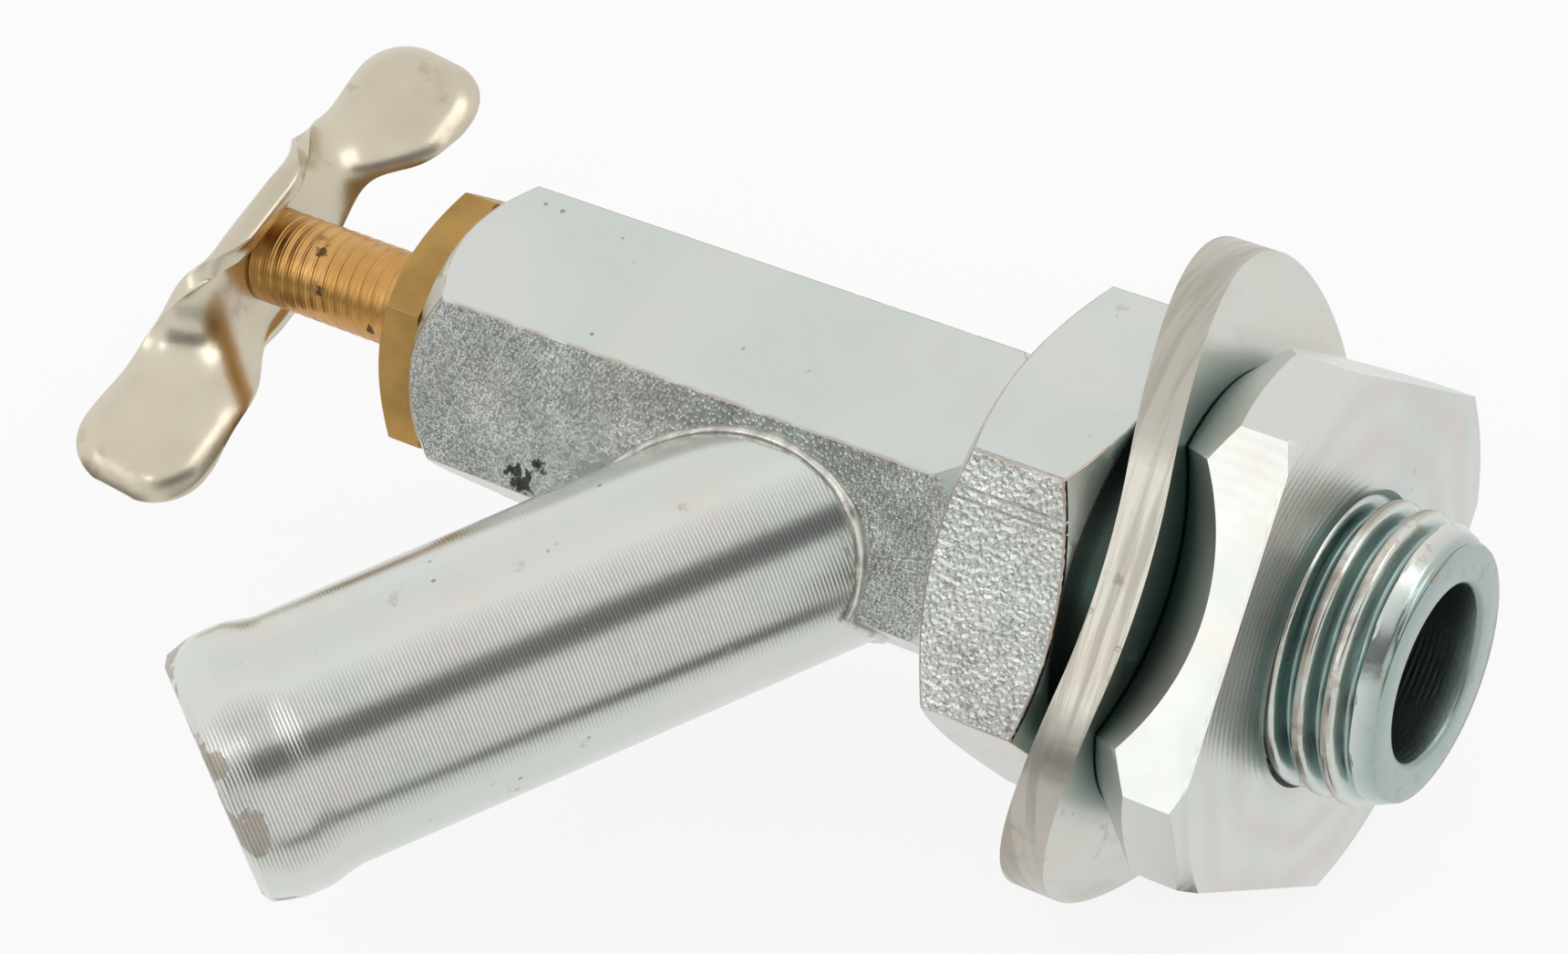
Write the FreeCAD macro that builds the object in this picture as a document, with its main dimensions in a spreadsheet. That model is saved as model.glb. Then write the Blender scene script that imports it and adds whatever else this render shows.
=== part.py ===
import FreeCAD, Part
import math
import os
import Sketcher

# Screw-down heater water tap. X runs along the spindle, +X towards the inlet end.
# The origin lies on that axis where the free inlet thread starts, 0.1 mm outside the
# lock nut's outer face. The outlet tube lies in the XY plane and leans back.

DIMENSIONS = {
    # inlet nipple: threaded spigot, collar and seat
    "thread_radius": 8.73,
    "engaged_radius": 8.15,
    "engaged_run": 1.0,
    "thread_reach": 6.15,
    "tip_radius": 7.7,
    "tip_chamfer": 0.9,
    "inlet_bore_radius": 5.35,
    "inlet_bore_depth": 20.0,
    "inlet_taper": 3.0,
    "neck_radius": 9.3,
    "neck_reach": 0.75,
    "collar_flats": 27.1,
    "collar_depth": 8.5,
    "collar_turn_angle": 6.3,
    "collar_edge": 0.15,
    "chamfer_angle": 30.0,
    "shank_radius": 6.5,
    "shank_reach": 7.5,
    "shank_end_play": 0.2,
    "seat_radius": 3.75,
    "seat_lip_width": 0.9,
    "seat_lip_height": 0.8,
    # washer and lock nut on the spigot
    "washer_depth": 2.7,
    "washer_width": 27.0,
    "washer_length": 40.0,
    "washer_bow_radius": 52.0,
    "washer_to_collar": 1.9,
    "hole_clearance": 0.3,
    "nut_depth": 6.9,
    "nut_face_gap": 0.1,
    "nut_flats": 30.35,
    "nut_corner_leg": 4.5,
    "nut_turn_angle": 49.4,
    "nut_seat_half": 9.7,
    "nut_flat_back": 2.3,
    "scallop_radius": 18.5,
    "nut_corner_radius": 17.6,
    "nut_corner_bevel": 3.0,
    "nut_back_radius": 12.5,
    "nut_bevel_reach": 3.6,
    "nut_face_bevel": 0.6,
    "nut_seat_gap": 0.1,
    "nut_bore_sink": 9.0,
    # body bar with its bores
    "body_flats": 18.3,
    "body_length": 40.2,
    "body_end_radius": 9.0,
    "body_end_bevel": 2.1,
    "body_root_radius": 9.1,
    "body_root_bevel": 2.9,
    "chamber_radius": 5.6,
    "guide_depth": 4.0,
    "gland_recess_depth": 10.0,
    # outlet tube
    "tube_radius": 7.95,
    "tube_wall": 1.2,
    "tube_length": 44.9,
    "tube_cross": 29.5,
    "tube_lean_angle": 55.3,
    "tube_port_radius": 4.6,
    "bead_from_mouth": 3.0,
    "bead_height": 0.45,
    "bead_half_length": 1.6,
    "mouth_round": 0.35,
    "braze_width": 0.65,
    # gland, spindle and valve
    "gland_flats": 16.1,
    "gland_head_depth": 3.2,
    "gland_turn_angle": 51.0,
    "packing_depth": 2.6,
    "packing_washer_depth": 0.8,
    "spindle_radius": 3.15,
    "spindle_reach": 14.5,
    "spindle_thread_length": 18.3,
    "stem_radius": 2.5,
    "tenon_side": 4.2,
    "rivet_radius": 3.3,
    "rivet_depth": 1.0,
    "crown_share": 0.6,
    "stem_shoulder": 0.6,
    "button_radius": 3.0,
    "button_depth": 1.2,
    "button_play": 0.1,
    "running_clearance": 0.05,
    "overshoot": 1.0,
    "valve_lift": 4.9,
    "closed_gap": 0.05,
    "jumper_radius": 5.2,
    "jumper_depth": 2.1,
    "jumper_rim_depth": 1.1,
    "boss_radius": 4.2,
    "boss_lip_depth": 1.2,
    "seat_washer_radius": 4.85,
    "seat_washer_depth": 2.4,
    "screw_head_radius": 2.2,
    "screw_head_depth": 1.0,
    "screw_radius": 1.2,
    "screw_length": 3.6,
    "screw_slot": 0.6,
    # pressed handle
    "handle_sheet": 1.2,
    "handle_turn_angle": 5.0,
    "handle_half_span": 19.45,
    "channel_half_length": 4.3,
    "wing_start": 11.0,
    "web_half_width": 3.45,
    "bend_radius": 1.2,
    "flange_reach": 1.1,
    "wing_half_width": 4.35,
    "wing_corner": 3.8,
    "fold_end": 9.6,
    "upper_waist_end": 6.6,
    "lower_waist_end": 9.4,
    "lower_flange_loss": 1.3,
    "near_wing_extra": 0.4,
    "notch_depth": 3.2,
    "notch_station": 8.1,
    "notch_half_length": 4.0,
    "wing_twist_angle": 76.0,
    "wing_shift": 0.75,
    "wing_drop": 0.55,
    "rim_width": 1.7,
    "rim_drop": 1.1,
}

HALF_HEX = "cos(30)"
ALONG_X = FreeCAD.Rotation(FreeCAD.Vector(0, 1, 0), 90)
WEB_COLUMNS = 2
BEND_COLUMNS = 5
CHANNEL_ROWS = 2
WING_ROWS = 10

doc = FreeCAD.newDocument("HeaterTap")
dims = doc.addObject("Spreadsheet::Sheet", "Dims")


def fill_sheet():
    for row, (alias, value) in enumerate(DIMENSIONS.items(), start=1):
        dims.set("A%d" % row, alias)
        dims.set("B%d" % row, str(value))
        dims.setAlias("B%d" % row, alias)
    doc.recompute()


def size(alias):
    return float(dims.get(alias))


def cell(alias):
    return "Dims." + alias


# Stations along the axis, each worked out from the lengths of the pieces before it.
nut_face = "(-Dims.nut_face_gap)"
washer_front = "(-Dims.nut_depth)"
washer_back = "(%s - Dims.washer_depth)" % washer_front
engaged_start = "(%s - Dims.engaged_run)" % washer_front
collar_front = "(%s - Dims.washer_to_collar)" % washer_back
neck_front = "(%s + Dims.neck_reach)" % collar_front
collar_back = "(%s - Dims.collar_depth)" % collar_front
shank_end = "(%s - Dims.shank_reach)" % collar_back
seat_face = "(%s - Dims.seat_lip_height)" % shank_end
body_end = "(%s - Dims.body_length)" % collar_back
recess_floor = "(%s + Dims.gland_recess_depth)" % body_end
guide_front = "(%s + Dims.guide_depth)" % recess_floor
packing_front = "(%s - Dims.packing_washer_depth)" % recess_floor
packing_back = "(%s - Dims.packing_depth)" % packing_front
gland_face = "(%s - Dims.gland_head_depth)" % body_end
floor_front = "(%s - Dims.spindle_reach)" % gland_face
floor_back = "(%s - Dims.handle_sheet)" % floor_front
thread_end = "(%s + Dims.spindle_thread_length)" % floor_front
valve_face = "(%s - Dims.closed_gap - Dims.valve_lift)" % seat_face
jumper_front = "(%s - Dims.seat_washer_depth)" % valve_face
jumper_back = "(%s - Dims.jumper_depth)" % jumper_front
cavity_end = "(%s - Dims.button_depth - 2 * Dims.button_play)" % jumper_back
boss_end = "(%s - Dims.boss_lip_depth)" % cavity_end
button_front = "(%s - Dims.button_play)" % jumper_back
button_back = "(%s - Dims.button_depth)" % button_front


def value_of(expression):
    holder = doc.getObject("Probe") or doc.addObject("App::FeaturePython", "Probe")
    return holder.evalExpression(expression)


def axial(obj, start, turn=0.0):
    """Lays a primitive along X from a station, turned about X by some degrees."""
    rotation = FreeCAD.Rotation(FreeCAD.Vector(1, 0, 0), turn).multiply(ALONG_X)
    obj.Placement = FreeCAD.Placement(FreeCAD.Vector(0, 0, 0), rotation)
    obj.setExpression("Placement.Base.x", start)
    return obj


def cylinder(name, start, end, radius):
    obj = doc.addObject("Part::Cylinder", name)
    obj.setExpression("Radius", radius)
    obj.setExpression("Height", "%s - %s" % (end, start))
    return axial(obj, start)


def prism(name, start, end, flats, sides, turn):
    obj = doc.addObject("Part::Prism", name)
    obj.Polygon = sides
    obj.setExpression("Circumradius", "%s / 2 / cos(%g)" % (flats, 180.0 / sides))
    obj.setExpression("Height", "%s - %s" % (end, start))
    return axial(obj, start, turn)


def boolean(kind, name, base, tool):
    obj = doc.addObject("Part::" + kind, name)
    obj.Base = base
    obj.Tool = tool
    return obj


def cut(name, base, tool):
    return boolean("Cut", name, base, tool)


def fuse(name, base, tool):
    return boolean("Fuse", name, base, tool)


def common(name, base, tool):
    return boolean("Common", name, base, tool)


def origin_plane(body, role):
    for feature in body.Origin.OriginFeatures:
        if feature.Role == role:
            return feature
    return None


def turned(name, profile):
    """Turns a closed profile of (station, radius) expressions about the X axis."""
    body = doc.addObject("PartDesign::Body", name)
    sketch = body.newObject("Sketcher::SketchObject", name + "_profile")
    sketch.AttachmentSupport = (origin_plane(body, "XY_Plane"), [""])
    sketch.MapMode = "FlatFace"
    points = [FreeCAD.Vector(value_of(x), value_of(r), 0) for x, r in profile]
    count = len(points)
    for index in range(count):
        line = Part.LineSegment(points[index], points[(index + 1) % count])
        sketch.addGeometry(line, False)
    for index in range(count):
        joint = Sketcher.Constraint("Coincident", index, 2, (index + 1) % count, 1)
        sketch.addConstraint(joint)
    for index, (x, r) in enumerate(profile):
        for kind, expression, number in (
            ("DistanceX", x, points[index].x),
            ("DistanceY", r, points[index].y),
        ):
            place = Sketcher.Constraint(kind, -1, 1, index, 1, number)
            key = sketch.addConstraint(place)
            sketch.setExpression("Constraints[%d]" % key, expression)
    turn = body.newObject("PartDesign::Revolution", name + "_turning")
    turn.Profile = sketch
    turn.ReferenceAxis = (sketch, ["H_Axis"])
    turn.Angle = 360
    return body


def corner_turn(angle_from_outlet):
    """Turn about X that puts a prism's corner at an angle from -Y towards +Z."""
    return 90.0 - angle_from_outlet - 60.0


def hex_turning(name, start, end, flats, edge_start, edge_end, depth_start, depth_end):
    """Turned envelope that bevels the corners of a hexagon at both ends."""
    corner = "(%s / 2 / %s)" % (flats, HALF_HEX)
    return turned(
        name,
        [
            (start, "0"),
            (start, edge_start),
            ("(%s + %s)" % (start, depth_start), corner),
            ("(%s - %s)" % (end, depth_end), corner),
            (end, edge_end),
            (end, "0"),
        ],
    )


def make_nipple():
    edge = "(Dims.collar_flats / 2 - Dims.collar_edge)"
    corner = "(Dims.collar_flats / 2 / %s)" % HALF_HEX
    bevel = "((%s - %s) * tan(Dims.chamfer_angle))" % (corner, edge)
    turn = corner_turn(size("collar_turn_angle"))
    bar = prism("collar_bar", collar_back, collar_front, cell("collar_flats"), 6, turn)
    envelope = hex_turning(
        "collar_turning", collar_back, collar_front, cell("collar_flats"), edge, edge, bevel, bevel
    )
    collar = common("collar", bar, envelope)
    lip_edge = "(Dims.seat_radius + Dims.seat_lip_width)"
    tip = cell("thread_reach")
    shaft = turned(
        "nipple_shaft",
        [
            (seat_face, "0"),
            (seat_face, lip_edge),
            (shank_end, lip_edge),
            (shank_end, cell("shank_radius")),
            (collar_back, cell("shank_radius")),
            (collar_back, cell("neck_radius")),
            (neck_front, cell("neck_radius")),
            (neck_front, cell("thread_radius")),
            (engaged_start, cell("thread_radius")),
            (engaged_start, cell("engaged_radius")),
            ("0", cell("engaged_radius")),
            ("0", cell("thread_radius")),
            ("(%s - Dims.tip_chamfer)" % tip, cell("thread_radius")),
            (tip, cell("tip_radius")),
            (tip, "0"),
        ],
    )
    taper_start = "(Dims.thread_reach - Dims.inlet_bore_depth)"
    bore = turned(
        "nipple_bore",
        [
            ("(%s - Dims.overshoot)" % seat_face, "0"),
            ("(%s - Dims.overshoot)" % seat_face, cell("seat_radius")),
            ("(%s - Dims.inlet_taper)" % taper_start, cell("seat_radius")),
            (taper_start, cell("inlet_bore_radius")),
            ("(%s + Dims.overshoot)" % tip, cell("inlet_bore_radius")),
            ("(%s + Dims.overshoot)" % tip, "0"),
        ],
    )
    return cut("inlet_nipple", fuse("nipple_solid", shaft, collar), bore)


def tube_axis():
    lean = math.radians(size("tube_lean_angle"))
    return FreeCAD.Vector(-math.cos(lean), -math.sin(lean), 0)


def along_tube(obj):
    rotation = FreeCAD.Rotation(FreeCAD.Vector(0, 0, 1), tube_axis())
    obj.Placement = FreeCAD.Placement(FreeCAD.Vector(0, 0, 0), rotation)
    obj.setExpression("Placement.Base.x", "-Dims.tube_cross")
    return obj


def tube_cylinder(name, radius, length):
    obj = doc.addObject("Part::Cylinder", name)
    obj.setExpression("Radius", radius)
    obj.setExpression("Height", length)
    return along_tube(obj)


def body_bar(name, growth):
    flats = "(Dims.body_flats + 2 * %s)" % growth
    return prism(name, body_end, collar_back, flats, 6, corner_turn(0.0))


def make_body():
    corner = cell("body_flats")
    envelope = hex_turning(
        "body_turning",
        body_end,
        collar_back,
        corner,
        cell("body_end_radius"),
        cell("body_root_radius"),
        cell("body_end_bevel"),
        cell("body_root_bevel"),
    )
    solid = common("body_blank", body_bar("body_hexagon", "0"), envelope)
    socket = "(Dims.shank_radius + Dims.running_clearance)"
    guide = "(Dims.stem_radius + Dims.running_clearance)"
    bore = turned(
        "body_bore",
        [
            ("(%s - Dims.overshoot)" % body_end, "0"),
            ("(%s - Dims.overshoot)" % body_end, cell("chamber_radius")),
            (recess_floor, cell("chamber_radius")),
            (recess_floor, guide),
            (guide_front, guide),
            (guide_front, cell("chamber_radius")),
            ("(%s - Dims.shank_end_play)" % shank_end, cell("chamber_radius")),
            ("(%s - Dims.shank_end_play)" % shank_end, socket),
            ("(%s + Dims.overshoot)" % collar_back, socket),
            ("(%s + Dims.overshoot)" % collar_back, "0"),
        ],
    )
    port = tube_cylinder("outlet_port", cell("tube_port_radius"), cell("body_flats"))
    return cut("tap_body", cut("bored_bar", solid, bore), port)


def make_tube():
    mouth = cell("tube_length")
    bead = "(%s - Dims.bead_from_mouth)" % mouth
    blank = turned(
        "tube_blank",
        [
            ("0", "(Dims.tube_radius - Dims.tube_wall)"),
            ("0", cell("tube_radius")),
            ("(%s - 2 * Dims.bead_half_length)" % bead, cell("tube_radius")),
            (
                "(%s - Dims.bead_half_length / 2)" % bead,
                "(Dims.tube_radius + Dims.bead_height)",
            ),
            (
                "(%s + Dims.bead_half_length / 2)" % bead,
                "(Dims.tube_radius + Dims.bead_height)",
            ),
            (mouth, "(Dims.tube_radius - Dims.mouth_round)"),
            (mouth, "(Dims.tube_radius - Dims.tube_wall)"),
        ],
    )
    lean = FreeCAD.Rotation(FreeCAD.Vector(1, 0, 0), tube_axis())
    blank.Placement = FreeCAD.Placement(FreeCAD.Vector(0, 0, 0), lean)
    blank.setExpression("Placement.Base.x", "-Dims.tube_cross")
    return cut("outlet_tube", blank, body_bar("tube_cope", "0"))


def make_braze():
    ring = tube_cylinder("braze_ring", "(Dims.tube_radius + Dims.braze_width)", cell("tube_length"))
    bead = common("braze_bead", ring, body_bar("braze_bar", "Dims.braze_width"))
    clear_of_body = cut("braze_outside", bead, body_bar("braze_cope", "0"))
    tube = tube_cylinder("braze_tube", cell("tube_radius"), cell("tube_length"))
    return cut("braze_fillet", clear_of_body, tube)


def bow_cylinder(name, radius):
    """Cylinder whose surface gives the bow of the washer, set along its width."""
    turn = 90.0 - size("nut_turn_angle")
    direction = FreeCAD.Rotation(FreeCAD.Vector(1, 0, 0), turn).multVec(FreeCAD.Vector(0, 0, 1))
    obj = doc.addObject("Part::Cylinder", name)
    obj.setExpression("Radius", radius)
    obj.setExpression("Height", "2 * Dims.washer_length")
    rotation = FreeCAD.Rotation(FreeCAD.Vector(0, 0, 1), direction)
    start = direction * -size("washer_length")
    obj.Placement = FreeCAD.Placement(start, rotation)
    obj.setExpression("Placement.Base.x", "%s - Dims.washer_bow_radius" % washer_front)
    return obj


def make_washer():
    half_width = "(Dims.washer_width / 2)"
    low = "(%s - Dims.washer_length / 4)" % washer_back
    turn = 90.0 - size("nut_turn_angle")
    plate = doc.addObject("Part::Box", "washer_plate")
    plate.setExpression("Length", "%s - %s" % (washer_front, low))
    plate.setExpression("Width", "Dims.washer_length - Dims.washer_width")
    plate.setExpression("Height", cell("washer_width"))
    spin = FreeCAD.Rotation(FreeCAD.Vector(1, 0, 0), turn)
    reach = (size("washer_length") - size("washer_width")) / 2
    plate.Placement = FreeCAD.Placement(
        spin.multVec(FreeCAD.Vector(0, -reach, -size("washer_width") / 2)), spin
    )
    plate.setExpression("Placement.Base.x", low)
    outline = plate
    for side, label in ((-1, "left"), (1, "right")):
        end = cylinder("washer_end_" + label, low, washer_front, half_width)
        end.Placement.Base = spin.multVec(FreeCAD.Vector(0, side * reach, 0))
        outline = fuse("washer_outline_" + label, outline, end)
    bow = cut(
        "washer_bow",
        bow_cylinder("bow_front", cell("washer_bow_radius")),
        bow_cylinder("bow_back", "(Dims.washer_bow_radius - Dims.washer_depth)"),
    )
    hole = cylinder("washer_hole", low, "0", "(Dims.thread_radius + Dims.hole_clearance)")
    return cut("saddle_washer", common("washer_bowed", outline, bow), hole)


def make_nut():
    deep = "(2 * %s)" % washer_front
    turn = size("nut_turn_angle")
    corner_flats = "((Dims.nut_flats - Dims.nut_corner_leg) * sqrt(2))"
    square = prism("nut_square", deep, nut_face, cell("nut_flats"), 4, 90.0 - turn - 45.0)
    corners = prism("nut_corners", deep, nut_face, corner_flats, 4, 90.0 - turn)
    blank = common("nut_blank", square, corners)
    corner = "sqrt((Dims.nut_flats / 2)^2 + (Dims.nut_flats / 2 - Dims.nut_corner_leg)^2)"
    back = "(%s - Dims.nut_corner_bevel)" % washer_front
    turning = turned(
        "nut_turning",
        [
            (back, "0"),
            (back, cell("nut_back_radius")),
            ("-Dims.nut_bevel_reach", corner),
            ("(%s - Dims.nut_face_bevel)" % nut_face, corner),
            (nut_face, cell("nut_corner_radius")),
            (nut_face, "0"),
        ],
    )
    blank = common("nut_bevelled", blank, turning)
    seated = cut(
        "nut_seated",
        blank,
        bow_cylinder("nut_seat", "(Dims.washer_bow_radius + Dims.nut_seat_gap)"),
    )
    flat = size("nut_flats") / 2
    rise = size("nut_depth") - size("nut_flat_back")
    run = flat - size("nut_seat_half")
    slope = math.atan2(rise, run)
    outward = FreeCAD.Rotation(FreeCAD.Vector(1, 0, 0), 90.0 - turn).multVec(FreeCAD.Vector(0, 0, 1))
    forward = FreeCAD.Vector(1, 0, 0)
    shape = seated
    for side, label in ((1, "near"), (-1, "far")):
        away = outward * side
        line = away * math.cos(slope) + forward * math.sin(slope)
        lift = away * math.sin(slope) - forward * math.cos(slope)
        seat_line = away * size("nut_seat_half") - forward * size("nut_depth")
        cutter = doc.addObject("Part::Cylinder", "nut_scallop_" + label)
        cutter.setExpression("Radius", cell("scallop_radius"))
        cutter.setExpression("Height", "4 * Dims.nut_depth")
        start = seat_line + lift * size("scallop_radius") - line * size("nut_depth")
        cutter.Placement = FreeCAD.Placement(start, FreeCAD.Rotation(FreeCAD.Vector(0, 0, 1), line))
        shape = cut("nut_scalloped_" + label, shape, cutter)
    hole = "(Dims.engaged_radius + Dims.running_clearance)"
    bore = turned(
        "nut_bore",
        [
            (deep, "0"),
            (deep, hole),
            ("(%s - Dims.nut_bore_sink + %s)" % (nut_face, hole), hole),
            (nut_face, cell("nut_bore_sink")),
            (cell("overshoot"), cell("nut_bore_sink")),
            (cell("overshoot"), "0"),
        ],
    )
    return cut("lock_nut", shape, bore)


def make_gland():
    edge = "(Dims.gland_flats / 2 - Dims.collar_edge)"
    corner = "(Dims.gland_flats / 2 / %s)" % HALF_HEX
    bevel = "((%s - %s) * tan(Dims.chamfer_angle))" % (corner, edge)
    turn = corner_turn(size("gland_turn_angle"))
    bar = prism("gland_bar", gland_face, body_end, cell("gland_flats"), 6, turn)
    envelope = hex_turning(
        "gland_turning", gland_face, body_end, cell("gland_flats"), edge, corner, bevel, bevel
    )
    head = common("gland_head", bar, envelope)
    shank_radius = "(Dims.chamber_radius - Dims.running_clearance)"
    shank = cylinder("gland_shank", body_end, packing_back, shank_radius)
    hole = "(Dims.spindle_radius + Dims.running_clearance)"
    start = "(%s - Dims.overshoot)" % gland_face
    bore = cylinder("gland_bore", start, "(%s + Dims.overshoot)" % packing_back, hole)
    return cut("gland_nut", fuse("gland_solid", head, shank), bore)


def ring(name, start, end):
    hole = "(Dims.stem_radius + Dims.running_clearance)"
    rim = "(Dims.chamber_radius - Dims.running_clearance)"
    disc = cylinder(name + "_disc", start, end, rim)
    return cut(name, disc, cylinder(name + "_hole", start, end, hole))


def tenon_prism(name, start, end, side):
    """Square bar along the axis, turned with the handle that it drives."""
    return prism(name, start, end, side, 4, 45.0 + size("handle_turn_angle"))


def make_spindle():
    shaft = turned(
        "spindle_shaft",
        [
            (floor_front, "0"),
            (floor_front, cell("spindle_radius")),
            (thread_end, cell("spindle_radius")),
            ("(%s + Dims.stem_shoulder)" % thread_end, cell("stem_radius")),
            (button_back, cell("stem_radius")),
            (button_back, cell("button_radius")),
            (button_front, cell("button_radius")),
            (button_front, "0"),
        ],
    )
    tenon = tenon_prism("spindle_tenon", floor_back, floor_front, cell("tenon_side"))
    crown = "(Dims.rivet_radius * Dims.crown_share)"
    rivet = turned(
        "spindle_rivet",
        [
            ("(%s - Dims.rivet_depth)" % floor_back, "0"),
            ("(%s - Dims.rivet_depth)" % floor_back, crown),
            ("(%s - Dims.rivet_depth / 2)" % floor_back, cell("rivet_radius")),
            (floor_back, cell("rivet_radius")),
            (floor_back, "0"),
        ],
    )
    return fuse("spindle", fuse("spindle_with_tenon", shaft, tenon), rivet)


def make_jumper():
    rim = "(Dims.seat_washer_radius + Dims.running_clearance)"
    lip = "(Dims.stem_radius + Dims.running_clearance)"
    cavity = "(Dims.button_radius + Dims.button_play)"
    outside = turned(
        "jumper_outside",
        [
            (boss_end, "0"),
            (boss_end, cell("boss_radius")),
            (jumper_back, cell("boss_radius")),
            (jumper_back, cell("jumper_radius")),
            ("(%s + Dims.jumper_rim_depth)" % jumper_front, cell("jumper_radius")),
            ("(%s + Dims.jumper_rim_depth)" % jumper_front, rim),
            (jumper_front, rim),
            (jumper_front, "0"),
        ],
    )
    cavity_tool = turned(
        "jumper_cavity",
        [
            ("(%s - Dims.overshoot)" % boss_end, "0"),
            ("(%s - Dims.overshoot)" % boss_end, lip),
            (cavity_end, lip),
            (cavity_end, cavity),
            (jumper_back, cavity),
            (jumper_back, "0"),
        ],
    )
    tapping = cylinder(
        "jumper_tapping",
        "(%s + Dims.seat_washer_depth - Dims.screw_length)" % jumper_front,
        "(%s + Dims.overshoot)" % jumper_front,
        "(Dims.screw_radius + Dims.running_clearance)",
    )
    return cut("valve_jumper", cut("jumper_hollowed", outside, cavity_tool), tapping)


def make_seat_washer():
    disc = cylinder("seat_washer_disc", jumper_front, valve_face, cell("seat_washer_radius"))
    hole = "(Dims.screw_radius + Dims.running_clearance)"
    return cut("seat_washer", disc, cylinder("seat_washer_hole", jumper_front, valve_face, hole))


def make_screw():
    screw_end = "(%s - Dims.screw_length + Dims.running_clearance)" % valve_face
    front = "(%s + Dims.screw_head_depth)" % valve_face
    blank = turned(
        "screw_blank",
        [
            (screw_end, "0"),
            (screw_end, cell("screw_radius")),
            (valve_face, cell("screw_radius")),
            (valve_face, cell("screw_head_radius")),
            ("(%s - Dims.screw_head_depth / 2)" % front, cell("screw_head_radius")),
            (front, "(Dims.screw_head_radius * Dims.crown_share)"),
            (front, "0"),
        ],
    )
    slot = doc.addObject("Part::Box", "screw_driver_slot")
    slot.setExpression("Length", cell("screw_head_depth"))
    slot.setExpression("Width", cell("screw_slot"))
    slot.setExpression("Height", "4 * Dims.screw_head_radius")
    slot.setExpression("Placement.Base.x", "%s - Dims.screw_head_depth / 2" % front)
    slot.setExpression("Placement.Base.y", "-Dims.screw_slot / 2")
    slot.setExpression("Placement.Base.z", "-2 * Dims.screw_head_radius")
    return cut("washer_screw", blank, slot)


def smooth_step(value):
    value = min(max(value, 0.0), 1.0)
    return value * value * (3 - 2 * value)


def blend_to(end, reach):
    """0 along the channel beside the spindle, rising smoothly to 1 at the end station."""
    start = size("channel_half_length")
    return smooth_step((reach - start) / (size(end) - start))


def wing_half_width(along, lower):
    """Half width of the straight part of a wing; the near one is wider on its lower side."""
    extra = size("near_wing_extra") if lower and along < 0 else 0.0
    return size("wing_half_width") + extra


def root_notch(along):
    """Width lost at the far wing's lower root, where the blank is cut deeper."""
    place = (along - size("notch_station")) / size("notch_half_length")
    return size("notch_depth") * max(1 - place ** 2, 0.0) ** 2


def strip_half_width(along, lower):
    """Half of the strip's developed width, on its upper or lower side."""
    reach = abs(along)
    bend = size("bend_radius") * math.pi / 2
    channel = size("web_half_width") + bend + size("flange_reach")
    corner = size("wing_corner")
    into_corner = min(max(reach - size("handle_half_span") + corner, 0.0), corner)
    wing = wing_half_width(along, lower) - corner + math.sqrt(corner ** 2 - into_corner ** 2)
    if not lower:
        return channel + (wing - channel) * blend_to("upper_waist_end", reach)
    channel -= size("lower_flange_loss")
    return channel + (wing - channel) * blend_to("lower_waist_end", reach) - root_notch(along)


def rim_fall(along, aside):
    """Drop of the wing's rim near the rounded outline of the wing."""
    corner = size("wing_corner")
    past_end = abs(along) - size("handle_half_span") + corner
    side = strip_half_width(along, aside < 0) if past_end < 0 else wing_half_width(along, aside < 0)
    past_side = abs(aside) - side + corner
    if past_end > 0 and past_side > 0:
        inside = corner - math.hypot(past_end, past_side)
    else:
        inside = corner - max(past_end, past_side)
    return size("rim_drop") * (1 - min(max(inside, 0.0) / size("rim_width"), 1.0)) ** 2


def strip_point(along, aside):
    """Middle surface of the pressed strip, by developed distance aside of its centre line."""
    reach = abs(along)
    blend = blend_to("wing_start", reach)
    fold = math.pi / 2 * (1 - blend_to("fold_end", reach))
    bend_length = size("bend_radius") * math.pi / 2
    steps = 40
    step = abs(aside) / steps
    across = 0.0
    lift = -blend * rim_fall(along, aside)
    for index in range(steps):
        into_bend = ((index + 0.5) * step - size("web_half_width")) / bend_length
        angle = fold * min(max(into_bend, 0.0), 1.0)
        across += math.cos(angle) * step
        lift += math.sin(angle) * step
    across = math.copysign(across, aside)
    twist = math.radians(size("wing_twist_angle")) * blend
    web_x = value_of(floor_front) - size("handle_sheet") / 2
    x = web_x + size("wing_shift") * blend + lift * math.cos(twist) - across * math.sin(twist)
    z = lift * math.sin(twist) + across * math.cos(twist) - size("wing_drop") * blend
    return FreeCAD.Vector(x, along, z)


def strip_normal(along, aside):
    step = 0.05
    lengthwise = strip_point(along + step, aside) - strip_point(along - step, aside)
    sideways = strip_point(along, aside + step) - strip_point(along, aside - step)
    return lengthwise.cross(sideways).normalize()


def column_shares(lower):
    """Shares of the half width where facets meet: over the flat web, then over its bend."""
    web = size("web_half_width") / strip_half_width(0.0, lower)
    flat = [web * column / WEB_COLUMNS for column in range(WEB_COLUMNS + 1)]
    bent = [web + (1 - web) * column / BEND_COLUMNS for column in range(1, BEND_COLUMNS + 1)]
    return flat + bent


def strip_stations():
    """Stations along one half of the handle: over the straight channel, then out to the end."""
    channel = size("channel_half_length")
    rest = size("handle_half_span") - channel
    straight = [channel * row / CHANNEL_ROWS for row in range(CHANNEL_ROWS + 1)]
    turning = [math.sin(math.pi / 2 * row / WING_ROWS) for row in range(1, WING_ROWS + 1)]
    return straight + [channel + rest * share for share in turning]


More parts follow.
